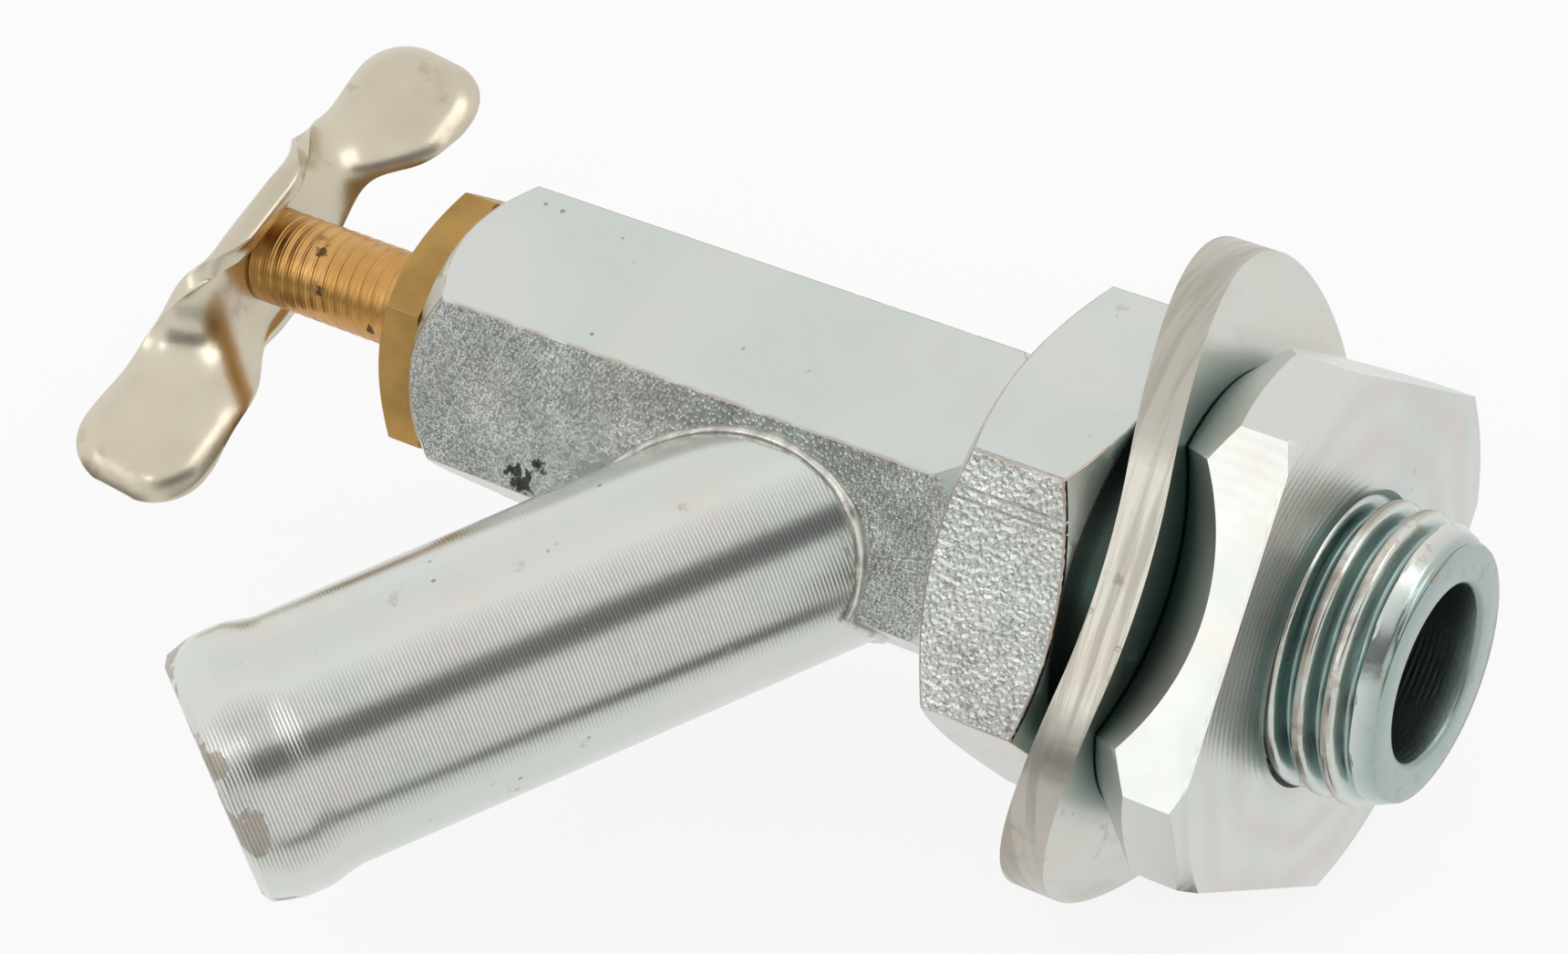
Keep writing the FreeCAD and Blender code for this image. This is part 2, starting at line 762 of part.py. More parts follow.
def strip_section(along):
    """Ring of points round the bent sheet at one station, first its front, then its back."""
    lower = [-share for share in reversed(column_shares(True)[1:])]
    shares = lower + column_shares(False)
    ring = []
    for side in (1, -1):
        for share in shares[::side]:
            aside = share * strip_half_width(along, share < 0)
            offset = side * size("handle_sheet") / 2
            point = strip_point(along, aside) + strip_normal(along, aside) * offset
            ring.append(FreeCAD.Vector(point.x, along, point.z))
    return ring


def facet_pair(one, two, three, four):
    """Two flat faces that fill a slightly twisted four-sided patch."""
    corners = ((one, two, three), (one, three, four))
    return [Part.Face(Part.makePolygon([p, q, r, p])) for p, q, r in corners]


def make_handle():
    half = strip_stations()
    rings = [strip_section(along) for along in [-value for value in half[:0:-1]] + half]
    faces = []
    for ring, after in zip(rings, rings[1:]):
        for index in range(-1, len(ring) - 1):
            faces += facet_pair(ring[index], ring[index + 1], after[index + 1], after[index])
    for ring in (rings[0], rings[-1]):
        for index in range(len(ring) // 2 - 1):
            faces += facet_pair(ring[index], ring[index + 1], ring[-2 - index], ring[-1 - index])
    solid = Part.Solid(Part.makeShell(faces))
    if solid.Volume < 0:
        solid.reverse()
    strip = doc.addObject("Part::Feature", "handle_strip")
    strip.Shape = solid
    turn = FreeCAD.Rotation(FreeCAD.Vector(1, 0, 0), size("handle_turn_angle"))
    strip.Placement = FreeCAD.Placement(FreeCAD.Vector(0, 0, 0), turn)
    side = "(Dims.tenon_side + 2 * Dims.running_clearance)"
    start = "(%s - Dims.overshoot)" % floor_back
    end = "(%s + Dims.overshoot)" % floor_front
    return cut("handle", strip, tenon_prism("handle_hole", start, end, side))


fill_sheet()
PARTS = [
    make_body(),
    make_nipple(),
    make_tube(),
    make_braze(),
    make_washer(),
    make_nut(),
    make_gland(),
    ring("gland_packing", packing_back, packing_front),
    ring("packing_washer", packing_front, recess_floor),
    make_spindle(),
    make_jumper(),
    make_seat_washer(),
    make_screw(),
    make_handle(),
]
doc.recompute()

for item in doc.Objects:
    if "Invalid" in item.State or "Error" in item.State:
        raise RuntimeError("%s did not build: %s" % (item.Label, item.State))
os.makedirs("parts", exist_ok=True)
for item in PARTS:
    shape = item.Shape
    if shape.isNull() or not shape.isValid():
        raise RuntimeError("%s is not a valid shape" % item.Label)
    shape.exportStep("parts/%s.step" % item.Label)
    print("%-16s solids %d  volume %9.1f" % (item.Label, len(shape.Solids), shape.Volume))
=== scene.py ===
import math
import bpy
from mathutils import Matrix, Vector


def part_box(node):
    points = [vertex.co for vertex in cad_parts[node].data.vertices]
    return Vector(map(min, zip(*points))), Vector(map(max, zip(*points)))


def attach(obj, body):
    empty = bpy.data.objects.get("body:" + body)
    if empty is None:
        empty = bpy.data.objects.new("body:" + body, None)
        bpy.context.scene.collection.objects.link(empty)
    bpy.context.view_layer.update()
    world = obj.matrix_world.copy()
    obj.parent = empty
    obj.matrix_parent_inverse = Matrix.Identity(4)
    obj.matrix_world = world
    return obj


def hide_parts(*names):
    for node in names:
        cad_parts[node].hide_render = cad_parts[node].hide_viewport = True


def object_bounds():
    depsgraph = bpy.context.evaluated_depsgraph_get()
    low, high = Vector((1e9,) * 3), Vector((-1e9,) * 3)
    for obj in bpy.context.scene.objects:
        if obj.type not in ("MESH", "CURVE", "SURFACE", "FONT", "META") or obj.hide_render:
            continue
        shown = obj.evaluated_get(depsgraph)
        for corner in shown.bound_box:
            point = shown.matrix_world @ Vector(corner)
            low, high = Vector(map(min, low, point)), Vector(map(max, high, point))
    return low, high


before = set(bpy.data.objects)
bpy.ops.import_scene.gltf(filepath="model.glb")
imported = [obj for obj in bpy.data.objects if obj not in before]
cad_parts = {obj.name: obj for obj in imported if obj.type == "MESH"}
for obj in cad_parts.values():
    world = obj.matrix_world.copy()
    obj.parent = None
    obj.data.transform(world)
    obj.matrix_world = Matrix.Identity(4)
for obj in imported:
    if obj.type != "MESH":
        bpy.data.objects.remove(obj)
cadBox = [list(corner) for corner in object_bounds()]

mm = 0.001
turn = 2 * math.pi


# ways of shaping a piece, all sizes in millimetres
def pickOnly(piece):
    bpy.ops.object.select_all(action="DESELECT")
    piece.select_set(True)
    bpy.context.view_layer.objects.active = piece


def fixPlace(piece):
    pickOnly(piece)
    bpy.ops.object.transform_apply(location=True, rotation=True, scale=True)


def applyModifier(piece, kind, **settings):
    pickOnly(piece)
    modifier = piece.modifiers.new(kind.lower(), kind)
    for key, value in settings.items():
        setattr(modifier, key, value)
    bpy.ops.object.modifier_apply(modifier=modifier.name)


def turnNormalsOut(piece):
    pickOnly(piece)
    bpy.ops.object.mode_set(mode="EDIT")
    bpy.ops.mesh.select_all(action="SELECT")
    bpy.ops.mesh.remove_doubles(threshold=0.0005 * mm)
    bpy.ops.mesh.normals_make_consistent(inside=False)
    bpy.ops.object.mode_set(mode="OBJECT")


def newMesh(name, points, edges, faces):
    mesh = bpy.data.meshes.new(name)
    mesh.from_pydata([Vector(point) * mm for point in points], edges, faces)
    piece = bpy.data.objects.new(name, mesh)
    bpy.context.scene.collection.objects.link(piece)
    return piece


def lathe(name, profile, steps=144):
    # spins a closed profile of (station, radius) about the X axis
    count = len(profile)
    piece = newMesh(name, [(x, 0, r) for x, r in profile], [(i, (i + 1) % count) for i in range(count)], [])
    pickOnly(piece)
    bpy.ops.object.mode_set(mode="EDIT")
    bpy.ops.mesh.select_all(action="SELECT")
    bpy.ops.mesh.spin(steps=steps, angle=turn, center=(0, 0, 0), axis=(1, 0, 0))
    bpy.ops.object.mode_set(mode="OBJECT")
    turnNormalsOut(piece)
    return piece


def rod(name, radius, start, end, sides=144):
    # a round rod, or a bar with the sides given, along the X axis
    bpy.ops.object.select_all(action="DESELECT")
    bpy.ops.mesh.primitive_cylinder_add(vertices=sides, radius=radius * mm, depth=(end - start) * mm,
                                        location=((start + end) / 2 * mm, 0, 0), rotation=(0, math.pi / 2, 0))
    piece = bpy.context.object
    piece.name = piece.data.name = name
    fixPlace(piece)
    return piece


def bar(name, sides, flats, start, end, corner=0.0):
    # a bar measured over its flats, one corner turned from +Y towards +Z by some degrees
    piece = rod(name, flats / 2 / math.cos(math.pi / sides), start, end, sides)
    piece.rotation_euler.x = math.radians(corner)
    fixPlace(piece)
    return piece


def carve(piece, tool, operation="DIFFERENCE"):
    applyModifier(piece, "BOOLEAN", operation=operation, object=tool, solver="EXACT")
    bpy.data.objects.remove(tool)


def pointAlong(piece, direction, place=(0, 0, 0)):
    # lays a piece made along X along another direction
    piece.rotation_mode = "QUATERNION"
    piece.rotation_quaternion = Vector((1, 0, 0)).rotation_difference(Vector(direction))
    piece.location = Vector(place) * mm
    fixPlace(piece)


def softenEdges(piece, width, degrees=18, segments=2):
    applyModifier(piece, "BEVEL", width=width * mm, segments=segments, limit_method="ANGLE",
                  angle_limit=math.radians(degrees), use_clamp_overlap=True, material=1)


def shadeSmooth(piece, degrees=30, weighted=True):
    pickOnly(piece)
    bpy.ops.object.shade_smooth_by_angle(angle=math.radians(degrees))
    if weighted:
        applyModifier(piece, "WEIGHTED_NORMAL", keep_sharp=True, weight=50)


def stations(start, end, step):
    count = max(1, round(abs(end - start) / step))
    return [start + (end - start) * i / count for i in range(count + 1)]


def ease(value):
    value = min(max(value, 0.0), 1.0)
    return value * value * (3 - 2 * value)


def cutThread(piece, thread):
    # lowers the turned surface between the rounded crests of a right-handed thread
    for vertex in piece.data.vertices:
        x, y, z = vertex.co / mm
        radius = math.hypot(y, z)
        if not thread["start"] < x < thread["end"] or radius < thread["radius"] - 0.02:
            continue
        around = math.atan2(z, y) / turn
        fromCrest = abs((x / thread["pitch"] - around) % 1.0 - 0.5) * 2
        crest = ease((1 - fromCrest) * thread["crestWidth"] - thread["rootWidth"])
        fading = ease((x - thread["start"]) / thread["runIn"]) * ease((thread["end"] - x) / thread["runOut"])
        wanted = thread["radius"] - thread["depth"] * (1 - crest) * fading
        if "limit" in thread:
            wanted = min(wanted, thread["limit"](x))
        vertex.co.y *= wanted / radius
        vertex.co.z *= wanted / radius
    piece.data.update()


# shader maths
class Value:
    def __init__(self, graph, socket):
        self.graph = graph
        self.socket = socket

    def __add__(self, other):
        return self.graph.maths("ADD", self, other)

    def __radd__(self, other):
        return self.graph.maths("ADD", other, self)

    def __sub__(self, other):
        return self.graph.maths("SUBTRACT", self, other)

    def __rsub__(self, other):
        return self.graph.maths("SUBTRACT", other, self)

    def __mul__(self, other):
        return self.graph.maths("MULTIPLY", self, other)

    def __rmul__(self, other):
        return self.graph.maths("MULTIPLY", other, self)


class Graph:
    def __init__(self, owner):
        owner.use_nodes = True
        self.owner = owner
        self.tree = owner.node_tree
        self.tree.nodes.clear()

    def node(self, kind, settings=None, inputs=None, output=0):
        made = self.tree.nodes.new("ShaderNode" + kind)
        for key, value in (settings or {}).items():
            setattr(made, key, value)
        for key, value in (inputs or {}).items():
            if isinstance(value, Value):
                self.tree.links.new(value.socket, made.inputs[key])
            else:
                made.inputs[key].default_value = value
        return Value(self, made.outputs[output]) if len(made.outputs) else None

    def maths(self, operation, first, second=0.0):
        return self.node("Math", {"operation": operation}, {0: first, 1: second})

    def place(self):
        return self.node("TexCoord", output="Object")

    def along(self, direction, vector=None):
        return self.node("VectorMath", {"operation": "DOT_PRODUCT"},
                         {0: vector or self.place(), 1: direction}, output="Value")

    def fromAxis(self):
        # distance from the spindle's axis, in metres
        flat = self.node("VectorMath", {"operation": "MULTIPLY"}, {0: self.place(), 1: (0.0, 1.0, 1.0)})
        return self.node("VectorMath", {"operation": "LENGTH"}, {0: flat}, output="Value")

    def moved(self, shift, scale=(1.0, 1.0, 1.0)):
        return self.node("Mapping", inputs={"Vector": self.place(), "Location": shift, "Scale": scale})

    def noise(self, scale, detail=3.0, roughness=0.55, vector=None):
        return self.node("TexNoise", inputs={"Vector": vector or self.place(), "Scale": scale, "Detail": detail,
                                             "Roughness": roughness})

    def between(self, value, low, high):
        return self.node("MapRange", {"interpolation_type": "SMOOTHSTEP"},
                         {"Value": value, "From Min": low, "From Max": high})

    def step(self, value, span):
        # rises from 0 to 1 over a span in millimetres
        return self.between(value, span[0] * mm, span[1] * mm)

    def mix(self, share, first, second):
        return self.node("Mix", {"data_type": "RGBA"}, {0: share, 6: first, 7: second}, output=2)

    def spots(self, places):
        # ragged spots at (x, y, z, size)
        shown = 0.0
        for x, y, z, size in places:
            away = self.node("VectorMath", {"operation": "DISTANCE"}, {0: self.place(), 1: (x * mm, y * mm, z * mm)},
                             output="Value")
            ragged = away + (self.noise(1700, 4) - 0.5) * (size * 4.0 * mm)
            shown = self.maths("MAXIMUM", 1 - self.between(ragged, size * 0.6 * mm, size * 1.0 * mm), shown)
        return shown

    def recessShade(self, reach):
        # painted shade: how deep a place lies between pieces, from ambient occlusion
        light = self.node("AmbientOcclusion", {"samples": 8}, {"Distance": reach * mm}, output="AO")
        return 1 - self.between(light, 0.12, 0.7)

    def wave(self, value, pitch):
        return self.maths("SINE", value * (turn / (pitch * mm)))

    def bumps(self, height, depth):
        return self.node("Bump", inputs={"Height": height, "Strength": 1.0, "Distance": depth * mm})

    def seenDirectly(self):
        # one for rays from the camera and for mirrored or refracted ones
        seen = 0.0
        for ray in ("Is Camera Ray", "Is Glossy Ray", "Is Transmission Ray"):
            seen = self.maths("MAXIMUM", self.node("LightPath", output=ray), seen)
        return seen

    def finish(self, **inputs):
        shader = self.node("BsdfPrincipled", inputs={key.replace("_", " "): value for key, value in inputs.items()})
        self.node("OutputMaterial", inputs={0: shader})
        return self.owner


def rgb(red, green, blue):
    return (red, green, blue, 1.0)


zinc = {
    "pale": rgb(0.67, 0.69, 0.65),
    "green": rgb(0.57, 0.645, 0.60),
    "blush": rgb(0.69, 0.62, 0.57),
    "brown": rgb(0.33, 0.26, 0.19),
    "speck": rgb(0.12, 0.10, 0.08),
    "dull": rgb(0.25, 0.265, 0.25),
    "hole": rgb(0.03, 0.035, 0.02),
    "edge": rgb(0.50, 0.39, 0.32),
    # the dark teal painted as shade into recesses; the last two entries of the next line set how far and how strongly
    # that painted shade reaches
    "deep": rgb(0.08, 0.2, 0.2),
    "roughness": 0.27, "recessShadeReach": 5.0, "recessShadeShare": 0.75,
}


def zincColour(graph, stainLevel=0.66, greenShare=0.6):
    drift = graph.between(graph.noise(75, 2), 0.38, 0.66)
    colour = graph.mix(drift * greenShare, zinc["pale"], zinc["green"])
    blush = graph.between(graph.noise(120, 3, vector=graph.moved((0.4, 0.1, 0.7))), 0.5, 0.72)
    colour = graph.mix(blush * 0.5, colour, zinc["blush"])
    stain = graph.between(graph.noise(330, 6, 0.62), stainLevel, stainLevel + 0.1)
    colour = graph.mix(stain * 0.5, colour, zinc["brown"])
    spots = graph.node("TexVoronoi", inputs={"Vector": graph.place(), "Scale": 700.0})
    uneven = spots + graph.noise(2600, 2) * 0.2
    speck = (1 - graph.between(uneven, 0.16, 0.24)) * graph.between(graph.noise(150, 2), 0.6, 0.68)
    colour = graph.mix(speck * 0.6, colour, zinc["speck"])
    # painted shade: recesses and the places between pieces are painted dark teal
    return graph.mix(graph.recessShade(zinc["recessShadeReach"]) * zinc["recessShadeShare"], colour, zinc["deep"]), stain, speck


def platedEdge(name):
    # corners where handling has darkened the plating
    graph = Graph(bpy.data.materials.new(name))
    worn = graph.between(graph.noise(420, 5, 0.65), 0.32, 0.52)
    colour = graph.mix(worn, zinc["pale"], zinc["edge"])
    return graph.finish(Metallic=1.0, Base_Color=colour, Roughness=0.24 + worn * 0.14,
                        Normal=graph.bumps(graph.noise(1500, 3), 0.02))


def platedBar(name, flat):
    # one flat and its opposite are pitted under the plating, the others are smooth
    graph = Graph(bpy.data.materials.new(name))
    colour, stain, speck = zincColour(graph)
    across = graph.maths("ABSOLUTE", graph.along(flat["normal"]))
    pitted = graph.step(across, (flat["reach"] - 0.25, flat["reach"] - 0.1))
    grain = graph.node("TexVoronoi", {"feature": "SMOOTH_F1"}, {"Vector": graph.place(), "Scale": flat["grain"],
                                                                "Smoothness": 0.6})
    fine = graph.noise(flat["grain"] * 1.3, 2, 0.5)
    scribed = 0.0
    for line in flat["scribed"]:
        off = graph.maths("ABSOLUTE", graph.along(flat["upward"]) - line * mm)
        scribed = (1 - graph.step(off, (0.03, 0.1))) * pitted + scribed
    calm = 1 - graph.spots(flat["calm"]) * 0.7
    height = (grain * 1.6 + fine * 0.4) * (pitted * flat["depth"] * calm + 0.04) + graph.noise(260, 2) * 0.3
    height = height - speck * 0.5 + (1 - calm) * graph.noise(420, 4, 0.5) * 3.0
    if flat["scribed"]:
        height = height - scribed * 1.6
        colour = graph.mix(scribed * 0.5, colour, zinc["brown"])
    darker = graph.between(graph.noise(flat["grain"] * 0.1, 4), 0.3, 0.65) * pitted * calm * flat["darker"]
    colour = graph.mix(darker, colour, zinc["dull"])
    pit = graph.spots(flat["pits"])
    colour = graph.mix(pit * 0.92, colour, zinc["hole"])
    height = height - pit * 2.5
    roughness = zinc["roughness"] + stain * 0.2 + graph.noise(500, 3) * 0.1 - pitted * 0.04
    return graph.finish(Metallic=1.0, Base_Color=colour, Roughness=roughness, Normal=graph.bumps(height, 0.07))


tubeFinish = {
    # this line's dark grey and the strip set on the next line make a painted dark streak along one side of the tube
    "lean": 55.3, "bare": rgb(0.36, 0.28, 0.2), "streakShade": rgb(0.2, 0.19, 0.18), "mouth": (58.5, 61.4),
    "lines": ((0.24, 0.9), (0.41, 0.12)), "streakNormal": (0.67, -0.466, 0.576), "streakBand": (-13.6, -12.3), "depth": 0.01,
}
lean = math.radians(tubeFinish["lean"])
tubeAxis = (-math.cos(lean), -math.sin(lean), 0.0)


def platedTube(name, look):
    # fine turned lines run round the tube, and the plating is thin in brown patches; a painted dark streak darkens the
    # lines along one side
    graph = Graph(bpy.data.materials.new(name))
    colour, stain, speck = zincColour(graph, 0.64, 0.35)
    mouth = graph.step(graph.along(tubeAxis), look["mouth"])
    patches = graph.noise(190, 5, 0.6, graph.moved((0.13, 0.31, 0.05))) + mouth * 0.13
    bare = graph.between(patches, 0.665, 0.7)
    colour = graph.mix(bare * 0.6, colour, look["bare"])
    length = graph.along(tubeAxis) + graph.noise(60, 2) * (0.12 * mm)
    lines = graph.noise(1500, 2) * 0.8
    for pitch, share in look["lines"]:
        lines = graph.wave(length, pitch) * share + lines
    strength = graph.between(graph.noise(45, 2), 0.35, 0.65) * 0.5 + 0.5
    # painted shade: on a strip along one side of the tube, where the dark streak is reflected, the turned lines are
    # deepened and painted dark
    streakStrip = graph.step(graph.along(look["streakNormal"]), look["streakBand"])
    height = lines * strength * (streakStrip * 0.7 + 0.3) + graph.noise(700, 3) * 0.5 - speck * 0.5 - bare * 0.4
    streakShade = graph.between(lines + graph.noise(500, 3) * 0.9, 0.3, 1.1) * streakStrip
    colour = graph.mix(streakShade * 0.5, colour, look["streakShade"])
    roughness = 0.2 + strength * 0.05 + stain * 0.2 + bare * 0.2
    return graph.finish(Metallic=1.0, Base_Color=colour, Roughness=roughness,
                        Normal=graph.bumps(height, look["depth"]))


nutFinish = {
    "tint": rgb(0.64, 0.54, 0.53), "face": (-0.35, -0.25), "ringPitch": 0.6, "tintPitch": 3.4, "arcPitch": 0.8,
    "arcCentre": (-0.004, -0.0255, 0.0025), "depth": 0.013,
}


def platedNut(name, look):
    # faint tool rings and a blush of colour on the face, milling arcs on the flats
    graph = Graph(bpy.data.materials.new(name))
    colour, stain, speck = zincColour(graph, 0.68, 0.7)
    face = graph.step(graph.along((1.0, 0.0, 0.0)), look["face"])
    radius = graph.fromAxis() + graph.noise(70, 2) * (1.2 * mm)
    rings = graph.wave(radius, look["ringPitch"])
    tint = graph.wave(radius + graph.noise(110, 2) * (4 * mm), look["tintPitch"]) * 0.5 + 0.5
    colour = graph.mix(tint * face * 0.4, colour, look["tint"])
    milled = graph.node("VectorMath", {"operation": "DISTANCE"}, {0: graph.place(), 1: look["arcCentre"]},
                        output="Value")
    arcs = graph.wave(milled + graph.noise(90, 2) * (0.6 * mm), look["arcPitch"])
    uneven = graph.between(graph.noise(130, 3), 0.35, 0.7)
    height = rings * face * 0.3 + arcs * (1 - face) * uneven * 0.3 + graph.noise(650, 4) * 0.9 - speck
    roughness = 0.26 + graph.noise(300, 3) * 0.1 + stain * 0.2
    return graph.finish(Metallic=1.0, Base_Color=colour, Roughness=roughness,
                        Normal=graph.bumps(height, look["depth"]))


def platedWasher(name, share, pale, dark):
    # faint bands run across the pressed plate, and stronger ones along its sheared edge
    graph = Graph(bpy.data.materials.new(name))
    colour, stain, speck = zincColour(graph, 0.6, 0.3)
    bands = graph.between(graph.noise(900, 3, 0.5, graph.moved((0.0, 0.0, 0.0), (1.5, 0.1, 0.1))), 0.42, 0.66)
    colour = graph.mix(share, colour, graph.mix(bands * 0.7, pale, dark))
    height = bands * 0.9 + graph.noise(600, 4) * 1.1 - speck
    return graph.finish(Metallic=1.0, Base_Color=colour, Roughness=0.3 + bands * 0.08 + stain * 0.2,
                        Normal=graph.bumps(height, 0.02))


threadFinish = {
    # the first and third colours on this line are painted shade, for the thread roots and for the inside of the bore
    "root": rgb(0.17, 0.28, 0.275), "crest": rgb(0.46, 0.38, 0.31), "bore": rgb(0.2, 0.25, 0.24),
    "worn": rgb(0.38, 0.29, 0.2), "rootRadius": (7.6, 8.5), "crestRadius": (8.55, 8.7), "boreRadius": (5.42, 5.8),
    "tip": (5.0, 6.0), "ringPitch": 0.37, "depth": 0.015,
}


def platedThread(name, look):
    # crests are rubbed brown; the roots and the bore get painted shade
    graph = Graph(bpy.data.materials.new(name))
    colour, stain, speck = zincColour(graph, 0.64, 0.7)
    radius = graph.fromAxis()
    # painted shade: the thread roots are painted dark teal
    root = 1 - graph.step(radius, look["rootRadius"])
    crest = graph.step(radius, look["crestRadius"]) * graph.between(graph.noise(500, 4), 0.35, 0.55)
    colour = graph.mix(root * 0.6, colour, look["root"])
    colour = graph.mix(crest * 0.6, colour, look["crest"])
    # painted shade inside the bore
    inside = 1 - graph.step(radius, look["boreRadius"])
    colour = graph.mix(inside * 0.5, colour, look["bore"])
    length = graph.along((1.0, 0.0, 0.0))
    tip = graph.step(length, look["tip"]) * (1 - inside)
    worn = graph.between(graph.noise(640, 5, 0.65) + tip * 0.04, 0.58, 0.66)
    colour = graph.mix(worn * 0.45, colour, look["worn"])
    uneven = graph.between(graph.noise(260, 4), 0.4, 0.7) * inside
    turned = graph.wave(length + graph.noise(120, 3) * (0.9 * mm), look["ringPitch"]) * uneven
    height = turned * 0.6 + graph.noise(900, 4) * (1 + inside) - speck
    return graph.finish(Metallic=1.0, Base_Color=colour, Roughness=0.24 + stain * 0.2 + inside * 0.1,
                        Normal=graph.bumps(height, look["depth"]))


brass = {"stain": rgb(0.07, 0.05, 0.025), "linePitch": 0.24, "depth": 0.008}


def agedBrass(name, pale, deep, rings, roughness, stainShare, specks=()):
    # turned brass with dark stains and specks
    graph = Graph(bpy.data.materials.new(name))
    drift = graph.between(graph.noise(170, 4, 0.6), 0.36, 0.66)
    colour = graph.mix(drift, pale, deep)
    stain = graph.between(graph.noise(480, 3), 0.66, 0.71)
    stain = graph.maths("MAXIMUM", stain * stainShare, graph.spots(specks) * 0.85)
    colour = graph.mix(stain, colour, brass["stain"])
    height = graph.wave(graph.along((1.0, 0.0, 0.0)), brass["linePitch"]) * rings + graph.noise(900, 3)
    return graph.finish(Metallic=1.0, Base_Color=colour, Roughness=drift * 0.08 + roughness + stain * 0.25,
                        Normal=graph.bumps(height, brass["depth"]))


nickel = {
    "pale": rgb(0.64, 0.585, 0.47), "deep": rgb(0.57, 0.51, 0.395), "stain": rgb(0.26, 0.21, 0.15),
    "roughness": 0.23, "depth": 0.04,
}


def warmNickel(name):
    # thin old nickel, slightly dented and stained
    graph = Graph(bpy.data.materials.new(name))
    drift = graph.between(graph.noise(95, 3), 0.36, 0.68)
    colour = graph.mix(drift, nickel["pale"], nickel["deep"])
    stain = graph.between(graph.noise(260, 5, 0.6), 0.6, 0.72)
    colour = graph.mix(stain * 0.35, colour, nickel["stain"])
    height = graph.noise(230, 3) * 1.2 + graph.noise(1300, 3) * 0.2
    roughness = nickel["roughness"] + graph.noise(300, 3) * 0.1
    return graph.finish(Metallic=1.0, Base_Color=colour, Roughness=roughness,
                        Normal=graph.bumps(height, nickel["depth"]))


def plainFinish(name, metallic, colour, roughness, scale, depth):
    graph = Graph(bpy.data.materials.new(name))
    dark = rgb(*(part * 0.6 for part in colour[:3]))
    grain = graph.noise(scale, 4)
    return graph.finish(Metallic=metallic, Base_Color=graph.mix(graph.between(grain, 0.4, 0.7), colour, dark),
                        Roughness=grain * 0.15 + roughness, Normal=graph.bumps(grain, depth))


bodyFlat = {
    "normal": (0.0, -0.866, 0.5), "upward": (0.0, 0.5, 0.866), "reach": 9.15, "grain": 4200.0, "depth": 0.45,
    "darker": 0.42, "scribed": (), "calm": ((-42.5, -9.3, 2.2, 4.0), (-46.0, -9.3, 2.2, 3.0)),
    "pits": ((-50.8, -10.04, 0.9, 0.8), (-51.0, -10.3, 0.4, 0.7), (-49.8, -9.42, 2.0, 0.5), (-51.9, -9.9, 1.1, 0.4)),
}
collarFlat = {
    "normal": (0.0, -0.8059, 0.592), "upward": (0.0, 0.592, 0.8059), "reach": 13.55, "grain": 2900.0, "depth": 1.5,
    "darker": 0.3, "scribed": (5.6, 4.9), "calm": (), "pits": (),
}
spindleSpecks = ((-72.8, -0.6, 3.1, 0.5), (-72.0, -2.6, 1.75, 0.45), (-67.9, -3.1, 0.2, 0.4))
finishes = {
    "edge": platedEdge("zinc edge"),
    "bodyBar": platedBar("zinc body bar", bodyFlat),
    "collar": platedBar("zinc collar", collarFlat),
    "tube": platedTube("zinc tube", tubeFinish),
    "nut": platedNut("zinc nut", nutFinish),
    "washer": platedWasher("zinc washer", 0.35, rgb(0.6, 0.58, 0.5), rgb(0.45, 0.42, 0.34)),
    # the sheared edge has its own warmer, duller tone and is also darkened against the face as painted shade
    "sheared": platedWasher("zinc sheared edge", 0.8, rgb(0.47, 0.43, 0.37), rgb(0.31, 0.27, 0.22)),
    "thread": platedThread("zinc thread", threadFinish),
    "handle": warmNickel("warm nickel"),
    "gland": agedBrass("aged brass", rgb(0.46, 0.28, 0.09), rgb(0.36, 0.215, 0.07), 0.3, 0.34, 0.5),
    "spindle": agedBrass("bright brass", rgb(0.66, 0.38, 0.14), rgb(0.55, 0.3, 0.09), 1.0, 0.28, 0.4, spindleSpecks),
    "inner": agedBrass("turned brass", rgb(0.60, 0.40, 0.17), rgb(0.48, 0.31, 0.12), 0.8, 0.3, 0.3),
    "braze": plainFinish("solder", 1.0, rgb(0.68, 0.66, 0.61), 0.2, 900, 0.05),
    "packing": plainFinish("packing cord", 0.0, rgb(0.42, 0.37, 0.28), 0.7, 1500, 0.2),
    "rubber": plainFinish("rubber", 0.0, rgb(0.03, 0.03, 0.03), 0.6, 1200, 0.03),
}
print("finishes made")


def coat(piece, *names):
    piece.data.materials.clear()
    for name in names:
        piece.data.materials.append(finishes[name])


def fit(piece, node, body="tap"):
    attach(piece, body)
    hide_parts(node)


# hexagon body bar, with its bores and the port for the tube
bodyBar = {
    "flats": 18.3, "start": -60.2, "end": -20.0, "corner": 0.0, "edge": 0.2,
    "outline": [(-60.2, 0), (-60.2, 9.0), (-58.1, 10.57), (-22.9, 10.57), (-20.0, 9.1), (-20.0, 0)],
    "bores": [(-61, 0), (-61, 5.6), (-50.2, 5.6), (-50.2, 2.55), (-46.2, 2.55), (-46.2, 5.6), (-27.7, 5.6),
              (-27.7, 6.55), (-19, 6.55), (-19, 0)],
    "port": 4.6,
}
outletTube = {
    "cross": -29.5, "radius": 7.95, "bore": 6.75, "bead": 0.45, "rise": (38.6, 41.2), "riseLength": 2.6,
    "fall": (42.2, 44.5), "fallLength": 3.6, "fallDepth": 0.75, "step": 0.2, "sides": 160,
    "mouth": [(44.75, 7.46), (44.87, 7.3), (44.9, 7.15), (44.9, 7.0), (44.85, 6.85), (44.7, 6.75)],
}


def bodyBlank(name, start, end):
    return bar(name, 6, bodyBar["flats"], start, end, bodyBar["corner"])


body = bodyBlank("bodyBar", bodyBar["start"], bodyBar["end"])
coat(body, "bodyBar", "edge")
carve(body, lathe("bodyOutline", bodyBar["outline"]), "INTERSECT")
softenEdges(body, bodyBar["edge"])
carve(body, lathe("bodyBores", bodyBar["bores"], 96))
port = rod("outletPort", bodyBar["port"], 0, bodyBar["flats"], 96)
pointAlong(port, tubeAxis, (outletTube["cross"], 0, 0))
carve(body, port)
shadeSmooth(body)
fit(body, "tap_body")
print("body bar made")

